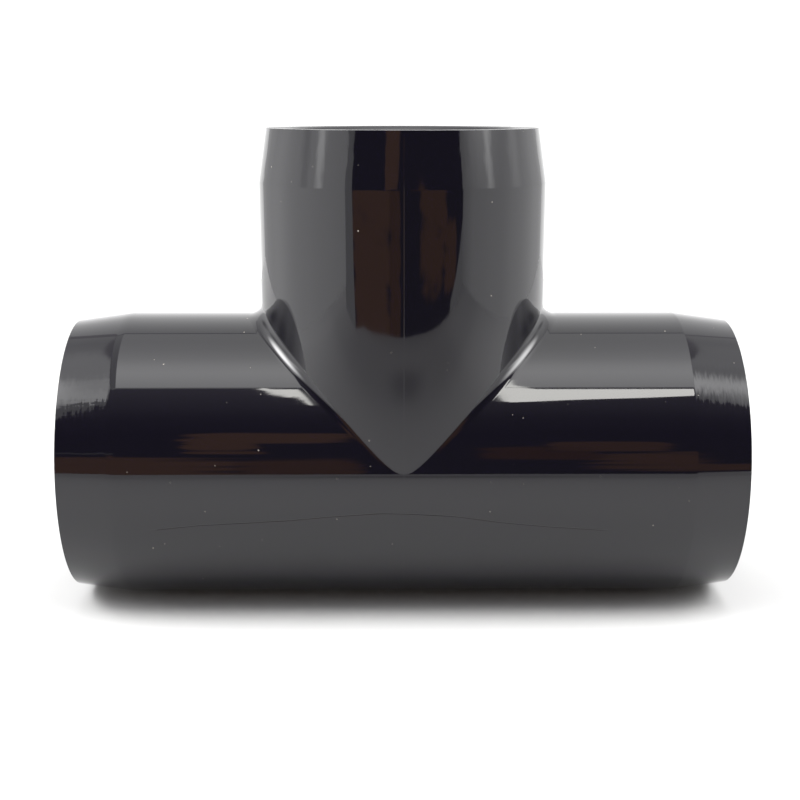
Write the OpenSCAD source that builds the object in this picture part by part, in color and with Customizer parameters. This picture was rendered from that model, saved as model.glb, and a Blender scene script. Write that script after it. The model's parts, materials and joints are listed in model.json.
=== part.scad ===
// Slip tee for 3/4 in PVC pipe: a straight run with a branch at right angles to it, in one
// seamless moulding with smooth hubs and a taper at each mouth.
// The run lies along X and the branch rises along +Z. The origin is under the crossing of the
// two axes, on the plane that the run rests on. All sizes are in millimetres.
// The moulding is drawn as four regions that meet face to face: the body at the crossing, and
// the tube of each of the three pipe sockets.

/* [Hubs] */
// Outside diameter of the run
run_od = 34.6; // [34:0.1:35.2]
// Outside diameter of the branch
branch_od = 34.5; // [33.8:0.1:35]
// Distance from the crossing of the axes to each mouth
centre_to_end = 39.7; // [39:0.1:41]

/* [End taper] */
// Length of the taper at each mouth
taper_len = 6.4; // [4:0.1:8]
// Outside diameter at the face of each of the run's mouths
run_mouth_od = 32.8; // [32:0.1:33.4]
// Outside diameter at the face of the branch's mouth
branch_mouth_od = 32.6; // [31.8:0.1:33.2]
// Width of the bevel that breaks the outer edge of each mouth
edge_break = 0.2; // [0.1:0.05:0.4]

/* [Sockets] */
// Bore of each socket, which takes pipe of 26.67 mm outside diameter
socket_d = 26.8; // [26.7:0.05:27.1]
// Depth of each socket, from its mouth to its pipe stop
socket_depth = 25.4; // [24:0.1:26.6]
// Width of the bevel that leads the pipe into each mouth
lead_in = 0.6; // [0.3:0.1:0.9]

/* [Waterway] */
// Bore between the pipe stops, the same as the bore of the pipe
waterway_d = 20.9; // [19:0.1:22.6]

/* [Crossing] */
// Distance from the crossing of the axes to the plane where each socket's tube starts
crossing_reach = 19.8; // [19:0.1:22]

/* [Hidden] */
$fn = 128;
pvc = "#17171a";
// Height of the run's axis above the plane that it rests on
axis_z = run_od / 2;
// Distance from the crossing of the axes to each pipe stop
stop_reach = centre_to_end - socket_depth;
// How far a cutting solid runs past the face that it cuts
past = 1;

// Everything inside is drawn about the crossing of the axes.
module at_crossing() {
    translate([0, 0, axis_z]) children();
}

// Turns a solid drawn along +Z so that it lies along +X, or along -X.
module along_run(direction) {
    rotate([0, 90 * direction, 0]) children();
}

// Waterway from the crossing outwards along +Z, with the inner end of the socket past its stop.
module passage() {
    cylinder(d = waterway_d, h = crossing_reach + past);
    translate([0, 0, stop_reach]) cylinder(d = socket_d, h = crossing_reach + past - stop_reach);
}

// Tube of one socket along +Z, from the crossing's body to its mouth
module socket_tube(hub_od, mouth_od) {
    taper_start = centre_to_end - taper_len;
    taper_slope = (hub_od - mouth_od) / 2 / taper_len;
    rotate_extrude()
        polygon([
            [socket_d / 2, crossing_reach],
            [hub_od / 2, crossing_reach],
            [hub_od / 2, taper_start],
            [mouth_od / 2 + taper_slope * edge_break, centre_to_end - edge_break],
            [mouth_od / 2 - edge_break, centre_to_end],
            [socket_d / 2 + lead_in, centre_to_end],
            [socket_d / 2, centre_to_end - lead_in]
        ]);
}

module centre_body() {
    color(pvc) at_crossing() difference() {
        union() {
            along_run(1) cylinder(d = run_od, h = 2 * crossing_reach, center = true);
            cylinder(d = branch_od, h = crossing_reach);
        }
        along_run(1) passage();
        along_run(-1) passage();
        passage();
    }
}

module left_socket() {
    color(pvc) at_crossing() along_run(-1) socket_tube(run_od, run_mouth_od);
}

module right_socket() {
    color(pvc) at_crossing() along_run(1) socket_tube(run_od, run_mouth_od);
}

module branch_socket() {
    color(pvc) at_crossing() socket_tube(branch_od, branch_mouth_od);
}

centre_body();
left_socket();
right_socket();
branch_socket();
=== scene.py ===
import json
import math

import bpy
import numpy as np
from mathutils import Matrix, Vector


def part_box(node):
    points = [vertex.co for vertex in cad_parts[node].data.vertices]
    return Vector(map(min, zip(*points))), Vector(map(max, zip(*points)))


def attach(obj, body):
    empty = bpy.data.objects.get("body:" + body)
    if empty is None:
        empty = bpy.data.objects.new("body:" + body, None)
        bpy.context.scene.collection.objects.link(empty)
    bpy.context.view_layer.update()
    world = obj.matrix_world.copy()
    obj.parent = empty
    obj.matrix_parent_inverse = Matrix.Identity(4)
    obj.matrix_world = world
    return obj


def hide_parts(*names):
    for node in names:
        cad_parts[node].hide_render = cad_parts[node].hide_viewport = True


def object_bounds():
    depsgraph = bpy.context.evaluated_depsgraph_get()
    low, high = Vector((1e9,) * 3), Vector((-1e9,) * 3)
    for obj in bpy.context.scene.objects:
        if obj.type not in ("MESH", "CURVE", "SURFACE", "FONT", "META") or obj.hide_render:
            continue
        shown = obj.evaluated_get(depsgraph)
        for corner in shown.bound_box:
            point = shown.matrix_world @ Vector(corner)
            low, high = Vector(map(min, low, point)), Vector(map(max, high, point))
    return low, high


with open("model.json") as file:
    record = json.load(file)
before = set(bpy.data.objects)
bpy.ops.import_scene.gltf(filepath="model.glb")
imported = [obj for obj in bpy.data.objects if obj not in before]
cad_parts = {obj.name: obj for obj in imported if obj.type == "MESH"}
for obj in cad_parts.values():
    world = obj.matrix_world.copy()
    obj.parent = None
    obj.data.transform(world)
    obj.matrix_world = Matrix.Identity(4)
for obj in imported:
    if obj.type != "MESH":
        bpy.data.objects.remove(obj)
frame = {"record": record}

# A black slip tee in glossy PVC. The CAD gives four regions of one moulding, and each is replaced
# here by a finer piece of the same outline. The pieces share their edges and the direction of the
# surface there, so the tee reads as the single seamless moulding that it is.

MM = 0.001

# ---------------------------------------------------------------- sizes that the CAD gives
CAD_LOW, CAD_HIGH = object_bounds()
MOUNTS = {m["name"]: m for m in frame["record"]["mounts"]}
RIGHT_MOUNT = MOUNTS["right_pipe_socket"]

RUN_R = (CAD_HIGH.y - CAD_LOW.y) / 2
AXIS_Z = CAD_LOW.z + RUN_R
END = CAD_HIGH.x                                     # from the crossing to each mouth
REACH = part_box("centre_body")[1][0]                  # from the crossing to each socket's tube
SOCKET_R = RIGHT_MOUNT["dims"]["r_mm"] * MM
STOP = RIGHT_MOUNT["pos_m"][0] - RIGHT_MOUNT["dims"]["length_mm"] * MM / 2

# ---------------------------------------------------------------- details of the moulding
BRANCH_R = 17.24 * MM            # just inside the CAD's
ROOT_NARROW = 0.0075             # how much narrower along X the branch's root is, from shrinking
ROOT_SPAN = 10 * MM              # height above the run over which it narrows
CROTCH_R = 1.75 * MM             # fillet between branch and run
WATERWAY_R = 10.45 * MM
WATERWAY_BRANCH_R = 10.4 * MM
WATERWAY_EDGE_R = 0.5 * MM       # rounding where the branch's waterway meets the run's
TAPER_LEN = 6.4 * MM
RUN_MOUTH_R = 16.4 * MM
BRANCH_MOUTH_R = 16.3 * MM
TAPER_EDGE_R = 1.2 * MM          # rounding where the end taper starts
SOFT_TAPER_EDGE_R = 8 * MM       # the same at the left mouth, where it is softer
MOUTH_EDGE_R = 0.03 * MM
LEAD_IN = 0.6 * MM
LEAD_EDGE_R = 0.9 * MM           # rounding of both edges of the bevel that leads the pipe in
STOP_EDGE_R = 0.2 * MM
SEAM_HEIGHT = 0.016 * MM         # witness line left where the mould's halves met
SEAM_WIDTH = 0.03 * MM
SEAM_FADE = 0.5 * MM             # length over which the seam dies away at the branch's mouth

# ---------------------------------------------------------------- material slots of each piece
GLOSS, SATIN, BORE = 0, 1, 2

# ---------------------------------------------------------------- mesh density
SIDE_STEPS = 144                 # columns round each arm of the run
FACE_STEPS = 40                  # columns across the front, and across the back, of the crossing
SIDE_SPAN = math.radians(60)     # half of the turn about the branch that faces each arm
SEAM_COLUMNS = [k * SEAM_WIDTH for k in (0, 0.3, 0.6, 0.9, 1.25, 1.7, 2.4, 4.0)]
BRANCH_ROWS, BLEND_ROWS, RUN_ROWS = 10, 18, 44
BRANCH_CROWDING = 1.8            # above 1, rows crowd towards the blend
RUN_CROWDING = 1.35
ARC_STEPS = 6
WELD = 0.001 * MM                # points this close together become one


def unit(v):
    return v / np.linalg.norm(v, axis=-1, keepdims=True)


# ---------------------------------------------------------------- patches
# A patch is a grid of points with the true direction of the surface at each, and the index of its
# material. Patches are welded along their shared edges into one closed mesh.

def patch(points, normals, finish):
    normals = unit(np.asarray(normals, float))
    return {"points": np.asarray(points, float), "normals": normals, "finish": finish}


def grid_faces(rows, columns):
    """Corner indices of the faces of a grid of rows x columns points."""
    i = np.arange(rows * columns).reshape(rows, columns)
    return np.stack([i[:-1, :-1], i[:-1, 1:], i[1:, 1:], i[1:, :-1]], axis=-1).reshape(-1, 4)


def wound_outwards(faces, points, normals):
    """The same faces, each turned so that its winding agrees with the surface's direction."""
    corner = points[faces]
    facing = np.cross(corner[:, 2] - corner[:, 0], corner[:, 3] - corner[:, 1])
    inside_out = np.einsum("ij,ij->i", facing, normals[faces].sum(axis=1)) < 0
    return np.where(inside_out[:, None], faces[:, ::-1], faces)


def gather(patches):
    """Points, normals, faces and a finish for each face, of all the patches together."""
    points, normals, faces, finish, start = [], [], [], [], 0
    for p in patches:
        rows, columns = p["points"].shape[:2]
        own = grid_faces(rows, columns) + start
        points.append(p["points"].reshape(-1, 3))
        normals.append(p["normals"].reshape(-1, 3))
        faces.append(own)
        finish.append(np.full(len(own), p["finish"]))
        start += rows * columns
    return tuple(np.concatenate(x) for x in (points, normals, faces, finish))


def welded_piece(name, patches, materials):
    """One closed mesh object from patches that share their edges."""
    points, normals, faces, finish = gather(patches)
    faces = wound_outwards(faces, points, normals)
    _, first, same = np.unique(np.round(points / WELD), axis=0, return_index=True, return_inverse=True)
    same = same.reshape(-1)
    polygons, slots, loop_normals = [], [], []
    for face, slot in zip(faces, finish):
        corners = [(same[k], k) for n, k in enumerate(face) if same[k] != same[face[n - 1]]]
        if len(corners) > 2:
            polygons.append([int(w) for w, _ in corners])
            slots.append(int(slot))
            loop_normals += [tuple(normals[k]) for _, k in corners]
    mesh = bpy.data.meshes.new(name)
    mesh.from_pydata([tuple(p) for p in points[first]], [], polygons)
    for m in materials:
        mesh.materials.append(m)
    mesh.polygons.foreach_set("material_index", slots)
    mesh.polygons.foreach_set("use_smooth", [True] * len(polygons))
    mesh.normals_split_custom_set(loop_normals)
    piece = bpy.data.objects.new(name, mesh)
    bpy.context.scene.collection.objects.link(piece)
    return piece


# ---------------------------------------------------------------- profiles that are turned
# A profile is a list of rows (along, radius, normal along, normal radial), in the order that it is
# walked, with the material on its right.

def corner_arc(before, at, after, radius):
    """Rows of a rounded corner between two straight stretches, or the corner twice if it is sharp."""
    a, b = unit(at - before), unit(after - at)
    left_a, left_b = np.array([-a[1], a[0]]), np.array([-b[1], b[0]])
    if not radius:
        return [(*at, *left_a), (*at, *left_b)]
    turn = math.acos(float(np.clip(a @ b, -1, 1)))
    way = math.copysign(1, a[0] * b[1] - a[1] * b[0])
    centre = at - a * radius * math.tan(turn / 2) + left_a * radius * way
    rows = []
    for k in range(ARC_STEPS + 1):
        t = way * turn * k / ARC_STEPS
        c, s = math.cos(t), math.sin(t)
        normal = np.array([c * left_a[0] - s * left_a[1], s * left_a[0] + c * left_a[1]])
        rows.append((*(centre - normal * radius * way), *normal))
    return rows


def profile(corners):
    """Rows through corners given as (along, radius, rounding)."""
    at = [np.array(c[:2], float) for c in corners]
    first, last = unit(at[1] - at[0]), unit(at[-1] - at[-2])
    rows = [(*at[0], -first[1], first[0])]
    for k in range(1, len(at) - 1):
        rows += corner_arc(at[k - 1], at[k], at[k + 1], corners[k][2])
    rows.append((*at[-1], -last[1], last[0]))
    return np.array(rows)


def turned(rows, angles, finish):
    """A patch from a profile turned about +Z, with a column at each angle from +X."""
    along, radius, n_along, n_radial = (rows[:, k, None] for k in range(4))
    c, s = np.cos(angles)[None], np.sin(angles)[None]
    points = np.stack([radius * c, radius * s, along + 0 * c], axis=-1)
    normals = np.stack([n_radial * c, n_radial * s, n_along + 0 * c], axis=-1)
    return patch(points, normals, finish)


def along_run(p, direction):
    """A patch about +Z laid along the run, so that its +X side comes to the top."""
    def lay(v):
        return np.stack([v[..., 2] * direction, v[..., 1], v[..., 0]], axis=-1)
    return patch(lay(p["points"]), lay(p["normals"]), p["finish"])


# ---------------------------------------------------------------- the crossing of two tubes

def column_angles():
    """Angles about the branch at which the crossing has its columns, once round, both ends included.

    The arms' sides are evenly divided. The front and the back have extra columns at the seam.
    """
    rim = BRANCH_R * math.cos(SIDE_SPAN)
    even = [rim * (1 - 2 * k / FACE_STEPS) for k in range(1, FACE_STEPS)]
    clear = [x for x in even if abs(x) > 1.5 * SEAM_COLUMNS[-1]]
    across = sorted(set(clear + SEAM_COLUMNS + [-x for x in SEAM_COLUMNS]), reverse=True)
    back = [math.acos(x / BRANCH_R) for x in across]
    side = [SIDE_SPAN * (2 * k / SIDE_STEPS - 1) for k in range(SIDE_STEPS + 1)]
    turn = side + back + [math.pi + a for a in side] + [math.pi + a for a in back]
    return np.array(turn + [2 * math.pi - SIDE_SPAN])


def edge_of_run(angles, start_x, run_end):
    """Where each column ends on the run, as (x, turn from the top): at an arm's end, or underneath."""
    a = np.mod(angles + math.pi, 2 * math.pi) - math.pi
    x, theta = np.zeros_like(a), np.zeros_like(a)
    right, left = np.abs(a) <= SIDE_SPAN + 1e-9, np.abs(a) >= math.pi - SIDE_SPAN - 1e-9
    x[right], theta[right] = run_end, a[right] / SIDE_SPAN * math.pi
    away = np.sign(a) * math.pi - a
    x[left], theta[left] = -run_end, away[left] / SIDE_SPAN * math.pi
    middle = ~(right | left)
    corner = np.abs(start_x[right]).min()
    spread = 1 + (run_end / corner - 1) * (start_x[middle] / corner) ** 2
    x[middle], theta[middle] = start_x[middle] * spread, np.sign(a[middle]) * math.pi
    return x, theta


def crossing(run_r, branch_r, blend_r, run_end, branch_end, angles):
    """The surface of a tube along X with a tube rising from it along +Z, blended where they meet.

    Rows run from the branch's end down the branch, round the blend and over the run. The blend is
    the path of a ball that rolls along both tubes.
    """
    c, s = np.cos(angles), np.sin(angles)
    flat = np.zeros_like(c)
    ball = np.stack([(branch_r + blend_r) * c, (branch_r + blend_r) * s, flat], axis=-1)
    ball[:, 2] = np.sqrt((run_r + blend_r) ** 2 - ball[:, 1] ** 2)
    from_branch = np.stack([c, s, flat], axis=-1)
    from_run = unit(ball * [0, 1, 1])

    points, normals = [], []
    for k in range(BRANCH_ROWS):
        t = 1 - (1 - k / BRANCH_ROWS) ** BRANCH_CROWDING
        z = branch_end + (ball[:, 2] - branch_end) * t
        points.append(np.stack([branch_r * c, branch_r * s, z], axis=-1))
        normals.append(from_branch)
    opening = np.arccos(np.clip(np.sum(from_branch * from_run, axis=-1), -1, 1))[:, None]
    for k in range(BLEND_ROWS + 1):
        t = k / BLEND_ROWS
        normal = np.sin((1 - t) * opening) * from_branch + np.sin(t * opening) * from_run
        normal = normal / np.sin(opening)
        points.append(ball - normal * blend_r)
        normals.append(normal)
    start_x, start_turn = ball[:, 0], np.arctan2(ball[:, 1], ball[:, 2])
    end_x, end_turn = edge_of_run(angles, start_x, run_end)
    for k in range(1, RUN_ROWS + 1):
        t = (k / RUN_ROWS) ** RUN_CROWDING
        x, turn = start_x + (end_x - start_x) * t, start_turn + (end_turn - start_turn) * t
        points.append(np.stack([x, run_r * np.sin(turn), run_r * np.cos(turn)], axis=-1))
        normals.append(np.stack([flat, np.sin(turn), np.cos(turn)], axis=-1))
    return np.array(points), np.array(normals)


# ---------------------------------------------------------------- what the mould and cooling leave

def draw_in(points, normals):
    """The branch as it shrinks in the mould, a little narrower along X at its root."""
    t = np.clip((RUN_R + ROOT_SPAN - points[..., 2]) / ROOT_SPAN, 0, 1)
    width = 1 - ROOT_NARROW * t**2 * (3 - 2 * t)
    growth = ROOT_NARROW * 6 * t * (1 - t) / ROOT_SPAN
    narrowed, turned_in = points.copy(), normals.copy()
    narrowed[..., 0] *= width
    turned_in[..., 0] /= width
    turned_in[..., 2] -= growth * points[..., 0] * turned_in[..., 0]
    return narrowed, unit(turned_in)


def raise_seam(points, normals, share=1.0):
    """A fine witness line standing on the surface along the plane x = 0."""
    x = points[..., 0:1]
    height = share * SEAM_HEIGHT * np.exp(-((x / SEAM_WIDTH) ** 2))
    slope = -2 * x / SEAM_WIDTH**2 * height
    sideways = np.array([1.0, 0, 0]) - normals * normals[..., 0:1]
    return points + normals * height, unit(normals - sideways * slope)


# ---------------------------------------------------------------- the four pieces

def outer_crossing(angles):
    points, normals = crossing(RUN_R, BRANCH_R, CROTCH_R, REACH, REACH, angles)
    over_run = BRANCH_ROWS + BLEND_ROWS + 1
    drawn, turned_in = draw_in(points[:over_run], normals[:over_run])
    shift = drawn[-1, :, 0] - points[over_run - 1, :, 0]
    fading = np.linspace(1, 0, RUN_ROWS + 1)[1:, None]
    points[over_run:, :, 0] += shift * fading**2
    points[:over_run], normals[:over_run] = drawn, turned_in
    return patch(*raise_seam(points, normals), GLOSS)


def inner_crossing(angles):
    points, normals = crossing(WATERWAY_R, WATERWAY_BRANCH_R, WATERWAY_EDGE_R, STOP, STOP, angles)
    return patch(points, -normals, BORE)


def arm_end(outer_r, inner_r):
    """Profile of one end of the crossing: its end face, the socket's inner end and the pipe stop."""
    return profile([(REACH, outer_r, 0), (REACH, SOCKET_R, 0), (STOP, SOCKET_R, STOP_EDGE_R),
                    (STOP, inner_r, 0)])


def centre_patches(angles):
    round_run = np.linspace(-math.pi, math.pi, SIDE_STEPS + 1)
    run_end = turned(arm_end(RUN_R, WATERWAY_R), round_run, BORE)
    branch_end = turned(arm_end(BRANCH_R, WATERWAY_BRANCH_R), angles, BORE)
    rim, _ = draw_in(branch_end["points"][:1], branch_end["normals"][:1])
    rim, _ = raise_seam(rim, np.stack([np.cos(angles), np.sin(angles), 0 * angles], axis=-1)[None])
    branch_end["points"][:1] = rim
    return [outer_crossing(angles), inner_crossing(angles), branch_end,
            along_run(run_end, 1), along_run(run_end, -1)]


def tube_profiles(hub_r, mouth_r, taper_edge):
    """Profiles of a socket's tube: its smooth hub, its end taper, and its mouth and bore."""
    start = END - TAPER_LEN
    whole = profile([(REACH, hub_r, 0), (start, hub_r, taper_edge), (END, mouth_r, MOUTH_EDGE_R),
                     (END, SOCKET_R + LEAD_IN, LEAD_EDGE_R), (END - LEAD_IN, SOCKET_R, LEAD_EDGE_R),
                     (REACH, SOCKET_R, 0), (REACH, hub_r, 0)])
    hub, taper = ARC_STEPS // 2 + 1, ARC_STEPS + 2
    return whole[:hub + 1], whole[hub:taper + 3], whole[taper + 2:]


def tube_patches(hub_r, mouth_r, angles, taper_edge=TAPER_EDGE_R):
    profiles = tube_profiles(hub_r, mouth_r, taper_edge)
    return [turned(rows, angles, finish) for rows, finish in zip(profiles, (GLOSS, SATIN, BORE))]


def branch_patches(angles):
    hub, taper, inside = tube_patches(BRANCH_R, BRANCH_MOUTH_R, angles)
    for p in (hub, taper):
        share = np.clip((END - MOUTH_EDGE_R - p["points"][..., 2:]) / SEAM_FADE, 0, 1)
        p["points"], p["normals"] = draw_in(p["points"], p["normals"])
        p["points"], p["normals"] = raise_seam(p["points"], p["normals"], share)
    inside["points"][-1] = hub["points"][0]
    inside["points"][0] = taper["points"][-1]
    return [hub, taper, inside]


def lifted(patches):
    """Patches drawn about the crossing, moved up to the run's axis."""
    for p in patches:
        p["points"] = p["points"] + [0, 0, AXIS_Z]
    return patches


# ---------------------------------------------------------------- materials
# Patterns are in features per metre along X, Y and Z, and roughnesses are the lowest and highest.
BLACK = (0.0013, 0.0009, 0.0036, 1)
DUST = (0.4, 0.37, 0.32, 1)
PVC_IOR = 1.54
GLOSS_ROUGHNESS, SATIN_ROUGHNESS, BORE_ROUGHNESS = (0.02, 0.05), (0.03, 0.06), (0.24, 0.36)
POLISH_PER_METRE = (260, 260, 260)
LONG_WAVES = ((90, 90, 90), 0.006 * MM)  # pattern and height
FINE_WAVES = ((700, 700, 700), 0.0003 * MM)
DUST_PER_METRE = (800, 800, 800)
DUST_RADIUS = 0.065              # in cells of the dust's pattern
DUST_SHARE = 0.16                # share of the cells that hold a speck
HAIRLINE = 0.0011                # width of a hairline scratch, in the value of its noise
HAIRLINES_PER_METRE = (26, 26, 26)
HAIRLINE_PLACES_PER_METRE = (31, 31, 31)
HAIRLINE_PLACES = (0.58, 0.62)   # noise at which hairlines start to show, and show in full

# The line on the run's front where the plastic's flows met in the mould: how far it lies below the
# axis, and how clear it is, against X. In radii of the run.
FLOW_DEPTH = [(-1.7, 0.31), (-1.35, 0.27), (-1.05, 0.253), (-0.75, 0.235), (-0.45, 0.206),
              (-0.15, 0.185), (0.05, 0.19), (0.34, 0.208), (0.64, 0.253), (0.94, 0.284), (1.3, 0.312)]
FLOW_CLARITY = [(-1.75, 0), (-1.6, 1), (1.32, 1), (1.4, 0)]
FLOW_WIDTH = 0.004
FLOW_GROOVE = 0.026 * MM

# The satin of the end tapers draws reflections out into hairs. Each comb is (pattern, tilt). It grows
# between the first two heights of its rise and fades between the last two.
BRANCH_COMB = ((3000, 3000, 150), 0.01)
HAIRS = ((4500, 700, 700), 0.028)
STREAKS = ((90, 2600, 2600), 0.022)
BRANCH_RISE = (0, AXIS_Z, 1, 2)  # in metres, so it never fades
RUN_RISE = [AXIS_Z + share * RUN_R for share in (0.15, 0.55, 0.75, 0.88)]


def add(tree, kind, **inputs):
    node = tree.nodes.new(kind)
    for name, value in inputs.items():
        node.inputs[name.replace("_", " ")].default_value = value
    return node


def sum_of(tree, kind, a, b):
    """Two values, or a value and a number, put together by a kind of sum."""
    node = add(tree, "ShaderNodeMath")
    node.operation = kind
    tree.links.new(a, node.inputs[0])
    if isinstance(b, (int, float)):
        node.inputs[1].default_value = b
    else:
        tree.links.new(b, node.inputs[1])
    return node.outputs["Value"]


def vector_sum(tree, kind, a, b):
    """The same for two vectors, or for a vector and a fixed one."""
    node = add(tree, "ShaderNodeVectorMath")
    node.operation = kind
    tree.links.new(a, node.inputs[0])
    if isinstance(b, tuple):
        node.inputs[1].default_value = b
    else:
        tree.links.new(b, node.inputs[1])
    return node.outputs["Vector"]


def spread_to(tree, value, low, high, from_low=0.3, from_high=0.7):
    """The value carried from one range to another."""
    to = add(tree, "ShaderNodeMapRange", From_Min=from_low, From_Max=from_high, To_Min=low, To_Max=high)
    tree.links.new(value, to.inputs["Value"])
    return to.outputs["Result"]


def noise_along(tree, place, scale, detail=2.0):
    """Noise in object space. scale is the number of features per metre along X, Y and Z."""
    noise = add(tree, "ShaderNodeTexNoise", Scale=1.0, Detail=detail, Roughness=0.55)
    tree.links.new(vector_sum(tree, "MULTIPLY", place, scale), noise.inputs["Vector"])
    return noise.outputs["Fac"]


def through_stops(tree, value, stops):
    """A curve of straight stretches through stops of (value, strength)."""
    first, last, top = stops[0][0], stops[-1][0], max(s for _, s in stops)
    share = spread_to(tree, value, 0, 1, first, last)
    ramp = tree.nodes.new("ShaderNodeValToRGB")
    while len(ramp.color_ramp.elements) < len(stops):
        ramp.color_ramp.elements.new(0.5)
    for element, (at, strength) in zip(ramp.color_ramp.elements, stops):
        element.position = (at - first) / (last - first)
        element.color = (strength / top,) * 3 + (1,)
    tree.links.new(share, ramp.inputs["Fac"])
    return sum_of(tree, "MULTIPLY", ramp.outputs["Color"], top)


def in_radii(tree):
    """Where a point of a card is, in radii of the run from the crossing of the axes."""
    place = tree.nodes.new("ShaderNodeTexCoord").outputs["Object"]
    return vector_sum(tree, "MULTIPLY", vector_sum(tree, "SUBTRACT", place, (0, 0, AXIS_Z)),
                      (1 / RUN_R,) * 3)


def bumped(tree, height, distance, normal):
    bump = add(tree, "ShaderNodeBump", Strength=1.0, Distance=distance)
    tree.links.new(height, bump.inputs["Height"])
    if normal is not None:
        tree.links.new(normal, bump.inputs["Normal"])
    return bump.outputs["Normal"]


def combed(tree, place, normal, axis, scale, tilt, rise):
    """The surface's direction rocked round the tube's axis by noise. rise is four heights."""
    round_tube = tree.nodes.new("ShaderNodeVectorMath")
    round_tube.operation = "CROSS_PRODUCT"
    round_tube.inputs[0].default_value = axis
    tree.links.new(normal, round_tube.inputs[1])
    split = tree.nodes.new("ShaderNodeSeparateXYZ")
    tree.links.new(place, split.inputs["Vector"])
    height = split.outputs["Z"]
    strength = sum_of(tree, "MULTIPLY", spread_to(tree, height, 0, tilt, *rise[:2]),
                      spread_to(tree, height, 1, 0, *rise[2:]))
    rocking = spread_to(tree, noise_along(tree, place, scale, 3.0), -1, 1)
    rocking = sum_of(tree, "MULTIPLY", rocking, strength)
    sideways = tree.nodes.new("ShaderNodeVectorMath")
    sideways.operation = "SCALE"
    tree.links.new(round_tube.outputs["Vector"], sideways.inputs[0])
    tree.links.new(rocking, sideways.inputs["Scale"])
    rocked = vector_sum(tree, "ADD", normal, sideways.outputs["Vector"])
    return vector_sum(tree, "NORMALIZE", rocked, (0, 0, 0))


def specks(tree, place):
    """Above 0 on sparse specks of dust, some fainter than others, 0 elsewhere."""
    cells = add(tree, "ShaderNodeTexVoronoi", Scale=1.0)
    tree.links.new(vector_sum(tree, "MULTIPLY", place, DUST_PER_METRE), cells.inputs["Vector"])
    round_one = spread_to(tree, cells.outputs["Distance"], 1, 0, 0.6 * DUST_RADIUS, 1.2 * DUST_RADIUS)
    lot = tree.nodes.new("ShaderNodeSeparateXYZ")
    tree.links.new(cells.outputs["Color"], lot.inputs["Vector"])
    chosen = sum_of(tree, "GREATER_THAN", lot.outputs["X"], 1 - DUST_SHARE)
    return sum_of(tree, "MULTIPLY", round_one, sum_of(tree, "MULTIPLY", chosen, lot.outputs["Y"]))


def hairlines(tree, place):
    """Above 0 on a few long fine scratches, 0 elsewhere."""
    level = noise_along(tree, place, HAIRLINES_PER_METRE, 0.0)
    off = sum_of(tree, "ABSOLUTE", sum_of(tree, "SUBTRACT", level, 0.5), 0.0)
    line = spread_to(tree, off, 0.5, 0, 0.3 * HAIRLINE, HAIRLINE)
    patches = noise_along(tree, place, HAIRLINE_PLACES_PER_METRE, 0.0)
    return sum_of(tree, "MULTIPLY", line, spread_to(tree, patches, 0, 1, *HAIRLINE_PLACES))


def flow_line(tree):
    """Above 0 on the line where the plastic's flows met, 0 elsewhere."""
    split = tree.nodes.new("ShaderNodeSeparateXYZ")
    tree.links.new(in_radii(tree), split.inputs["Vector"])
    depth = through_stops(tree, split.outputs["X"], FLOW_DEPTH)
    off = sum_of(tree, "ABSOLUTE", sum_of(tree, "ADD", depth, split.outputs["Z"]), 0.0)
    line = spread_to(tree, off, 1, 0, 0.4 * FLOW_WIDTH, FLOW_WIDTH)
    in_front = sum_of(tree, "LESS_THAN", split.outputs["Y"], 0.0)
    clarity = through_stops(tree, split.outputs["X"], FLOW_CLARITY)
    return sum_of(tree, "MULTIPLY", sum_of(tree, "MULTIPLY", line, in_front), clarity)


def marked(tree, place, shader, polish):
    """Dust and hairlines laid over the plastic's colour. Gives its roughness with them on it."""
    marks = sum_of(tree, "MAXIMUM", specks(tree, place), hairlines(tree, place))
    colour = add(tree, "ShaderNodeMix")
    colour.data_type = "RGBA"
    base, mark = [i for i in colour.inputs if i.type == "RGBA"]
    base.default_value, mark.default_value = BLACK, DUST
    tree.links.new(marks, colour.inputs["Factor"])
    tree.links.new([o for o in colour.outputs if o.type == "RGBA"][0], shader.inputs["Base Color"])
    return sum_of(tree, "MAXIMUM", polish, marks)


def black_pvc(name, roughness, combing=(), outside=True):
    """Black PVC. combing is a list of (tube's axis, pattern, tilt, rise). Only the outside has dust,
    hairlines and the flow line."""
    material = bpy.data.materials.new(name)
    material.use_nodes = True
    tree = material.node_tree
    shader = tree.nodes["Principled BSDF"]
    shader.inputs["IOR"].default_value = PVC_IOR
    shader.inputs["Base Color"].default_value = BLACK
    place = tree.nodes.new("ShaderNodeTexCoord").outputs["Object"]
    polish = spread_to(tree, noise_along(tree, place, POLISH_PER_METRE, 4.0), *roughness)
    normal = None
    if outside:
        polish = marked(tree, place, shader, polish)
        normal = bumped(tree, spread_to(tree, flow_line(tree), 1, 0, 0, 1), FLOW_GROOVE, None)
    tree.links.new(polish, shader.inputs["Roughness"])
    for scale, height in (LONG_WAVES, FINE_WAVES):
        normal = bumped(tree, noise_along(tree, place, scale), height, normal)
    for comb in combing:
        normal = combed(tree, place, normal, *comb)
    tree.links.new(normal, shader.inputs["Normal"])
    return material


def finishes(name, combing):
    """The moulding's three finishes: mirror gloss, the end tapers' satin and the bore's."""
    return [
        black_pvc("gloss_" + name, GLOSS_ROUGHNESS),
        black_pvc("satin_" + name, SATIN_ROUGHNESS, combing),
        black_pvc("bore_" + name, BORE_ROUGHNESS, outside=False),
    ]


# ---------------------------------------------------------------- the tee

def make_piece(node, patches, materials):
    piece = welded_piece(node + "_skin", lifted(patches), materials)
    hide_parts(node)
    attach(piece, "root")
    return piece


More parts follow.
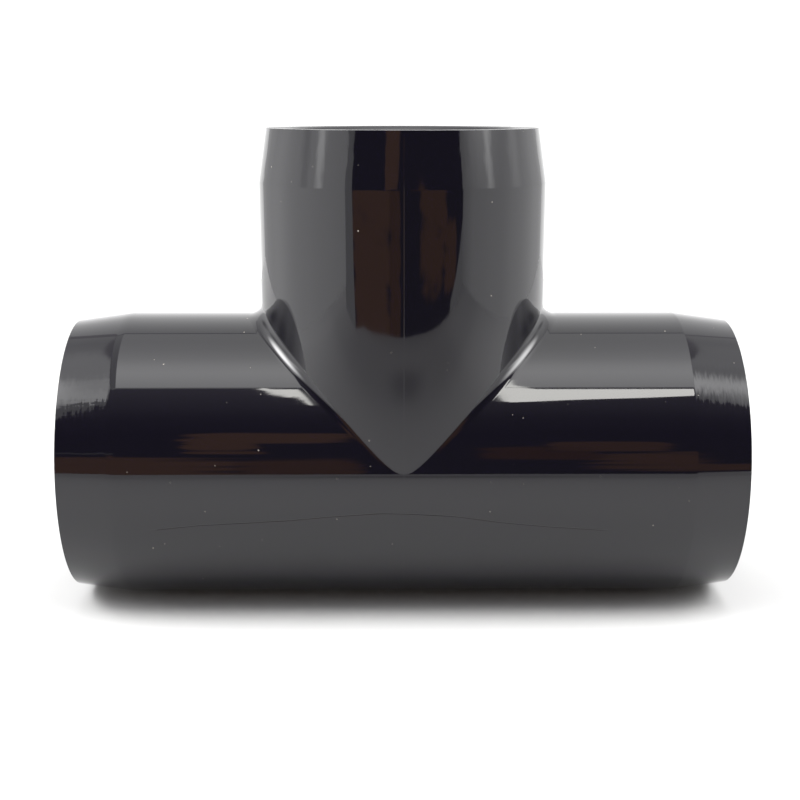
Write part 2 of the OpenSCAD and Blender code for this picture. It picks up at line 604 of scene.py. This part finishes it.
def build_tee():
    angles = column_angles()
    round_run = np.linspace(-math.pi, math.pi, SIDE_STEPS + 1)
    on_branch = finishes("branch", [((0, 0, 1), *BRANCH_COMB, BRANCH_RISE)])
    make_piece("centre_body", centre_patches(angles), on_branch)
    make_piece("branch_socket", branch_patches(angles), on_branch)
    arms = [("right_socket", 1, TAPER_EDGE_R, [HAIRS]),
            ("left_socket", -1, SOFT_TAPER_EDGE_R, [HAIRS, STREAKS])]
    for node, direction, taper_edge, combs in arms:
        tubes = [along_run(p, direction)
                 for p in tube_patches(RUN_R, RUN_MOUTH_R, round_run, taper_edge)]
        make_piece(node, tubes, finishes(node, [((1, 0, 0), *comb, RUN_RISE) for comb in combs]))


# ---------------------------------------------------------------- camera
# The camera's place is in radii of the run, from the crossing of the axes.
CAMERA_SIDE, CAMERA_BACK, CAMERA_UP = -0.114, -9.993, 2.462
CAMERA_PITCH, CAMERA_YAW, CAMERA_ROLL = math.radians(-11.83), math.radians(-0.58), math.radians(0.03)
LENS, SENSOR = 63.93, 36
LENS_SHIFT = 0.5 / 800           # half a pixel
CLIP_NEAR, CLIP_FAR = 0.1, 600   # in radii of the run


def build_camera():
    data = bpy.data.cameras.new("camera")
    data.lens, data.sensor_width = LENS, SENSOR
    data.shift_x, data.shift_y = -LENS_SHIFT, LENS_SHIFT
    data.clip_start, data.clip_end = RUN_R * CLIP_NEAR, RUN_R * CLIP_FAR
    camera = bpy.data.objects.new("camera", data)
    place = Vector((CAMERA_SIDE, CAMERA_BACK, CAMERA_UP)) * RUN_R + Vector((0, 0, AXIS_Z))
    level = Matrix.Rotation(CAMERA_YAW, 4, "Z") @ Matrix.Rotation(math.pi / 2 + CAMERA_PITCH, 4, "X")
    camera.matrix_world = Matrix.Translation(place) @ level @ Matrix.Rotation(CAMERA_ROLL, 4, "Z")
    bpy.context.scene.collection.objects.link(camera)
    bpy.context.scene.camera = camera


# ---------------------------------------------------------------- light tent
# A white tent round the tee, open in front to a dark room. Its walls light the tee and show in its
# gloss, but the camera looks through them, so they hide nothing from any side. Places are in radii
# of the run from the crossing of the axes, and strengths are radiances.
TENT_LEFT, TENT_RIGHT, TENT_TOP, TENT_FLOOR = -13.3, 14.0, 28.5, -1.0
TENT_FRONT, TENT_BACK = -13.5, 18.4
WORLD_LIGHT = 1.3

# Light from front to back along the sides and the top, and up the back: (place, strength)
LEFT_ALONG = [(TENT_FRONT, 1.9), (-8, 2.1), (-3, 2.2), (0, 2.1), (4, 1.95), (6, 1.75), (9, 1.33),
              (13, 1.05), (TENT_BACK, 1.0)]
RIGHT_ALONG = [(TENT_FRONT, 1.1), (-10, 1.6), (-5, 1.72), (-2, 1.68), (0.5, 1.75), (4, 1.6),
               (9, 1.42), (13, 1.15), (TENT_BACK, 1.1)]
TOP_ALONG = [(TENT_FRONT, 3.2), (-9, 3.7), (-6, 3.85), (-3, 3.5), (1, 2.65), (5.6, 2.05), (11, 1.62),
             (TENT_BACK, 1.3)]
BACK_UP = [(TENT_FLOOR, 1.65), (5, 1.62), (10, 1.4), (15, 1.33), (TENT_TOP, 1.15)]

# Pools of more or less light on the sides: (y, z, reach along Y, reach along Z, extra strength)
LEFT_POOLS = [(-4.5, 14.5, 10, 10, 19), (-5.4, 6.2, 1.8, 4.4, 2.2), (-9, 24, 6, 6, 1.0),
              (-12.4, 20.3, 4.5, 5, 1.5), (-1.8, 4.8, 1.8, 3, -0.45), (1.5, 6.9, 4.5, 3, -0.9),
              (8, 7, 6, 4, -0.8)]
RIGHT_POOLS = [(-5, 14, 11, 11, 12), (-5, 6.2, 1.6, 4.4, 1.9), (-8.9, 24.6, 6.5, 6.5, 3.1),
               (2, 4.8, 2.6, 3, 0.5), (1.5, 7.8, 4.5, 3, -0.8), (8, 7.5, 6, 3.5, -0.7)]

# Seams, piping and eaves, darker than the walls
HEM = 0.8                        # height of the seam where the tent's back meets its top
HEM_COLOUR, HEM_LIGHT = (0.9, 0.9, 1), 0.5
SHADE_COLOUR, SHADE_LIGHT = (1, 0.97, 1), 0.7
SEAM_FOOT = 14                   # height at which the seams in the back's corners start
SEAM_LEFT, SEAM_RIGHT = 1.2, 0.5
PIPING = (0.35, 0.35, 0.7)       # its reach inwards, and how far below the top it starts and ends
EAVES = 4.5                      # reach of the darker strip at the left of the top
APART = 0.1                      # between cards that lie one before the other

# The open front. The dark room's light rises with height. The warm cards stand at ROOM_FRONT and
# are (name, how far before it, left, right, bottom, top, strength).
ROOM_FRONT = TENT_FRONT - 0.5
ROOM_COLOUR = (0.9, 0.86, 0.95)
ROOM_UP = [(TENT_FLOOR, 0.14), (8, 0.13), (13, 0.18), (17, 0.28), (22, 0.36), (TENT_TOP, 0.45)]
ROOM_DEPTH = 2
ROOM_PAST, ROOM_BELOW = 4, 5     # how far the room goes on past the sides and top, and the floor
WARM = (1, 0.58, 0.34)
WARM_CARDS = [
    ("warm_left", 0, -11.5, -1.6, -4.2, 2.75, 0.52),
    ("warm_left_dim", 0.05, -2.6, -0.4, -2.6, 2.0, 0.4),
    ("warm_left_thin", 0.05, -3.4, -2.0, 2.7, 3.4, 0.5),
    ("warm_left_rise", 0.05, -3.5, -2.1, 3.3, 5.8, 0.55),
    ("warm_left_high", 0.1, -3.6, -0.6, 4.7, 7.3, 0.55),
    ("warm_right", 0, 2.8, 9.4, -0.75, 3.2, 0.45),
    ("warm_right_low", 0.1, 8.2, 12.3, -0.9, 0.5, 0.45),
    ("warm_right_high", 0.05, 2.4, 4.6, 3.1, 5.2, 0.42),
    ("warm_right_dim", 0.05, 1.3, 3.4, 1.4, 4.3, 0.3),
]
PALE_LINE = (-11.8, -4.8, 2.75, 2.95)
PALE_LIGHT, FLAP_LIGHT = 0.45, 1.0
LAMP_COLOUR, LAMP_LIGHT = (1, 0.99, 0.95), 11.5

# Outlines seen from the front, as (x, z)
LEFT_FLAP = [(TENT_LEFT, -4), (-9, -4), (-10.1, -1.6), (-10.6, -0.6), (-10.9, 1), (-11.1, 7),
             (-12.2, 17), (-12.3, TENT_TOP), (TENT_LEFT, TENT_TOP)]
RIGHT_LIP = [(9.5, -1.5), (TENT_RIGHT, -1.5), (TENT_RIGHT, 0.3), (12.9, -0.3), (11.6, -0.7), (10, -1)]
LAMP_LEFT_EDGE = [(-3.6, 26.8), (-3.3, 25.2), (-3.0, 22.4), (-2.5, 20.3), (-2.1, 19.2), (-1.75, 16.1)]
LAMP_LEFT_REST = [(-1.6, 15.6), (-2.1, 22.1), (-2.5, 26.8)]
LAMP_TEETH, LAMP_TOOTH = 40, 2.2
LAMP_RIGHT = [(2.4, 17.8), (2.55, 17.1), (3.0, 17.5), (3.9, 18.4), (5.7, 19.6), (7.1, 20.9), (9.5, 23),
              (9.5, 26.6), (3.95, 26.6), (3.7, 28.3), (2.8, 28.3), (2.6, 23.5)]
# The lamp's rounded corner, just below the top: (x, distance behind the front)
LAMP_CORNER = [(2.8, 0), (3.95, 0), (3.6, 0.6), (3.42, 1.4), (3.33, 2.6), (3.3, 4), (2.8, 4)]
LAMP_CORNER_DROP = 0.15

# Soft cards: a rounded box whose outline is bent by streaks of noise and fades away.
CARD_STREAKS_PER_METRE = (18, 18, 150)
CARD_SQUARENESS = 4.0
CARD_BEND = 0.45
CARD_RIM, CARD_FADE = 0.6, 0.35

# The floor's paper, its colour painted with light and shade: darker from the back towards the open
# front, with what is added from side to side lighter towards the walls, and a soft patch of painted
# shade as (centre, reach, extra). FLOOR_FRONT is its front edge, as (x, y).
FLOOR_PAINTED_LIGHT_ALONG = [(-13.5, 0.37), (-11.5, 0.44), (-10, 0.42), (-8.5, 0.42), (-7, 0.5), (-4.8, 0.555),
               (-2.5, 0.6), (20, 0.6)]
FLOOR_PAINTED_LIGHT_ACROSS = [(-13.3, 0.5), (-12, 0.42), (-11, 0.28), (-9, 0.14), (-7, 0.05), (-5, 0.02), (0, 0),
                (5, 0), (7, 0.03), (9, 0.13), (12, 0.21), (14, 0.25)]
FLOOR_PAINTED_SHADE = ((0.4, -9.5, TENT_FLOOR), (3.6, 1.7, 1), -0.14)
FLOOR_FRONT = [(-13.3, -13.4), (-11, -11.3), (-8.4, -11), (-7.2, -12.1), (-5, -12.5), (-2.9, -13),
               (2, -13.2), (5, -12.8), (9, -12.4), (10.5, -12.3), (14, -13.4)]
FLOOR_ROUGHNESS = 0.9


def plate(name, corners, material, hidden=True):
    """A flat card through corners in radii of the run. The camera looks through a hidden one."""
    mesh = bpy.data.meshes.new(name)
    lift = Vector((0, 0, AXIS_Z))
    mesh.from_pydata([Vector(c) * RUN_R + lift for c in corners], [], [range(len(corners))])
    mesh.materials.append(material)
    card = bpy.data.objects.new(name, mesh)
    bpy.context.scene.collection.objects.link(card)
    card.visible_camera = not hidden
    return card


def upright(name, y, x0, x1, z0, z1, material):
    return plate(name, [(x0, y, z0), (x1, y, z0), (x1, y, z1), (x0, y, z1)], material)


def glowing(name, colour, strength):
    material = bpy.data.materials.new(name)
    material.use_nodes = True
    tree = material.node_tree
    tree.nodes.clear()
    glow = add(tree, "ShaderNodeEmission", Strength=strength)
    glow.inputs["Color"].default_value = (*colour, 1)
    out = tree.nodes.new("ShaderNodeOutputMaterial")
    tree.links.new(glow.outputs["Emission"], out.inputs["Surface"])
    return material


def pool(tree, at, centre, reach, extra):
    """A soft pool of extra light, reach being its half sizes along X, Y and Z."""
    away = vector_sum(tree, "SUBTRACT", at, centre)
    away = vector_sum(tree, "MULTIPLY", away, tuple(1 / r for r in reach))
    length = tree.nodes.new("ShaderNodeVectorMath")
    length.operation = "LENGTH"
    tree.links.new(away, length.inputs[0])
    falloff = add(tree, "ShaderNodeMapRange", From_Min=0.0, From_Max=1.0, To_Min=extra, To_Max=0.0)
    falloff.interpolation_type = "SMOOTHERSTEP"
    tree.links.new(length.outputs["Value"], falloff.inputs["Value"])
    return falloff.outputs["Result"]


def graded(name, axis, stops, colour=(1, 1, 1), pools=()):
    """Light that changes along an axis of the tent, with pools of more or less light on it."""
    material = glowing(name, colour, 1.0)
    tree = material.node_tree
    at = in_radii(tree)
    split = tree.nodes.new("ShaderNodeSeparateXYZ")
    tree.links.new(at, split.inputs["Vector"])
    strength = through_stops(tree, split.outputs[axis], stops)
    for centre, reach, extra in pools:
        strength = sum_of(tree, "ADD", strength, pool(tree, at, centre, reach, extra))
    tree.links.new(strength, tree.nodes["Emission"].inputs["Strength"])
    return material


def side_wall(name, x, stops, pools):
    """A side of the tent. Its lamps stand outside it and glow through as pools."""
    f, b, t, g = TENT_FRONT, TENT_BACK, TENT_TOP, TENT_FLOOR
    here = [((x, y, z), (1, ry, rz), extra) for y, z, ry, rz, extra in pools]
    material = graded(name + "_glow", 1, stops, pools=here)
    plate(name, [(x, f, g), (x, b, g), (x, b, t), (x, f, t)], material)


def build_tent():
    l, r, f, b, t, g = TENT_LEFT, TENT_RIGHT, TENT_FRONT, TENT_BACK, TENT_TOP, TENT_FLOOR
    side_wall("tent_left", l, LEFT_ALONG, LEFT_POOLS)
    side_wall("tent_right", r, RIGHT_ALONG, RIGHT_POOLS)
    top = graded("top_glow", 1, TOP_ALONG)
    plate("tent_top", [(l, f, t), (r, f, t), (r, b, t), (l, b, t)], top)
    upright("tent_back", b, l, r, g, t - HEM, graded("back_glow", 2, BACK_UP))
    upright("tent_hem", b, l, r, t - HEM, t, glowing("hem", HEM_COLOUR, HEM_LIGHT))
    shade = glowing("shade", SHADE_COLOUR, SHADE_LIGHT)
    upright("back_left_seam", b - APART, l, l + SEAM_LEFT, SEAM_FOOT, t, shade)
    upright("back_right_seam", b - APART, r - SEAM_RIGHT, r, SEAM_FOOT, t, shade)
    reach, below, foot = PIPING
    for side, x, inner in (("left", l, l + reach), ("right", r, r - reach)):
        corners = [(inner, f, t - below), (x, f, t - foot), (x, b, t - foot), (inner, b, t - below)]
        plate("piping_" + side, corners, shade)
    z = t - APART
    eaves = [(l, f, z), (l + EAVES, f, z), (l + EAVES, b, z), (l, b, z)]
    plate("eaves", eaves, glowing("eaves", (1, 1, 1), FLAP_LIGHT))


def soft_card(name, y, x0, x1, z0, z1, colour, strength):
    """A card with uneven streaky edges that fade away: a rounded box, its outline bent by noise."""
    material = glowing(name, colour, strength)
    tree = material.node_tree
    place = tree.nodes.new("ShaderNodeTexCoord")
    streaks = noise_along(tree, place.outputs["Object"], CARD_STREAKS_PER_METRE)
    split = tree.nodes.new("ShaderNodeSeparateXYZ")
    tree.links.new(place.outputs["Generated"], split.inputs["Vector"])
    sides = []
    for axis in (0, 2):
        centred = spread_to(tree, split.outputs[axis], -1, 1, 0, 1)
        off = sum_of(tree, "ABSOLUTE", centred, 0.0)
        sides.append(sum_of(tree, "POWER", off, CARD_SQUARENESS))
    out_from_middle = sum_of(tree, "ADD", *sides)
    bent = sum_of(tree, "ADD", out_from_middle, spread_to(tree, streaks, -CARD_BEND, CARD_BEND))
    mask = add(tree, "ShaderNodeMapRange", From_Min=CARD_RIM - CARD_FADE, From_Max=CARD_RIM + CARD_FADE,
               To_Min=1.0, To_Max=0.0)
    mask.interpolation_type = "SMOOTHSTEP"
    tree.links.new(bent, mask.inputs["Value"])
    clear = tree.nodes.new("ShaderNodeBsdfTransparent")
    blend = tree.nodes.new("ShaderNodeMixShader")
    tree.links.new(mask.outputs["Result"], blend.inputs["Fac"])
    tree.links.new(clear.outputs["BSDF"], blend.inputs[1])
    tree.links.new(tree.nodes["Emission"].outputs["Emission"], blend.inputs[2])
    tree.links.new(blend.outputs["Shader"], tree.nodes["Material Output"].inputs["Surface"])
    return upright(name, y, x0, x1, z0, z1, material)


def ragged(edge, teeth, depth):
    """Points along an edge, every second one drawn up by an uneven depth."""
    draw = np.random.RandomState(3)
    x, z = np.array(edge).T
    at = np.linspace(0, 1, 2 * teeth + 1)
    knots = np.linspace(0, 1, len(x))
    lift = depth * draw.uniform(0, 1, len(at)) * (np.arange(len(at)) % 2)
    return list(zip(np.interp(at, knots, x), np.interp(at, knots, z) + lift))


def build_room():
    """What shows through the tent's open front: a dark room, warm low shapes and a bright lamp."""
    dark = graded("dark_room", 2, ROOM_UP, ROOM_COLOUR)
    upright("room", ROOM_FRONT - ROOM_DEPTH, TENT_LEFT - ROOM_PAST, TENT_RIGHT + ROOM_PAST,
            TENT_FLOOR - ROOM_BELOW, TENT_TOP + ROOM_PAST, dark)
    for name, before, x0, x1, z0, z1, strength in WARM_CARDS:
        soft_card(name, ROOM_FRONT + before, x0, x1, z0, z1, WARM, strength)
    upright("pale_left", ROOM_FRONT + APART, *PALE_LINE, glowing("pale", (1, 1, 1), PALE_LIGHT))
    flap = glowing("flap", (1, 1, 1), FLAP_LIGHT)
    lamp = glowing("front_lamp", LAMP_COLOUR, LAMP_LIGHT)
    lamp_left = ragged(LAMP_LEFT_EDGE, LAMP_TEETH, LAMP_TOOTH) + LAMP_LEFT_REST
    for name, y, outline, material in (("front_flap_left", TENT_FRONT, LEFT_FLAP, flap),
                                       ("front_lip_right", TENT_FRONT, RIGHT_LIP, flap),
                                       ("lamp_left", TENT_FRONT - APART, lamp_left, lamp),
                                       ("lamp_right", TENT_FRONT - APART, LAMP_RIGHT, lamp)):
        plate(name, [(x, y, z) for x, z in outline], material)
    corner = [(x, TENT_FRONT + back, TENT_TOP - LAMP_CORNER_DROP) for x, back in LAMP_CORNER]
    plate("lamp_corner", corner, lamp)


def build_floor():
    material = bpy.data.materials.new("floor_paper")
    material.use_nodes = True
    tree = material.node_tree
    at = in_radii(tree)
    split = tree.nodes.new("ShaderNodeSeparateXYZ")
    tree.links.new(at, split.inputs["Vector"])
    # Painted light and shade: the floor's colour darkens towards the open front and lightens towards
    # the walls, standing in for how the light falls, and a soft patch of painted shade is added to it.
    along = through_stops(tree, split.outputs["Y"], FLOOR_PAINTED_LIGHT_ALONG)
    across = through_stops(tree, split.outputs["X"], FLOOR_PAINTED_LIGHT_ACROSS)
    even = sum_of(tree, "ADD", along, across)
    shader = tree.nodes["Principled BSDF"]
    tree.links.new(sum_of(tree, "ADD", even, pool(tree, at, *FLOOR_PAINTED_SHADE)), shader.inputs["Base Color"])
    shader.inputs["Roughness"].default_value = FLOOR_ROUGHNESS
    shader.inputs["Specular IOR Level"].default_value = 0.0
    outline = FLOOR_FRONT + [(TENT_RIGHT, TENT_BACK), (TENT_LEFT, TENT_BACK)]
    plate("floor", [(x, y, TENT_FLOOR) for x, y in outline], material, hidden=False)


def build_world():
    world = bpy.data.worlds.new("white_world")
    world.use_nodes = True
    background = world.node_tree.nodes["Background"]
    background.inputs["Color"].default_value = (1, 1, 1, 1)
    background.inputs["Strength"].default_value = WORLD_LIGHT
    bpy.context.scene.world = world
    bpy.context.scene.view_settings.view_transform = "Standard"


build_tee()
build_camera()
build_tent()
build_room()
build_floor()
build_world()
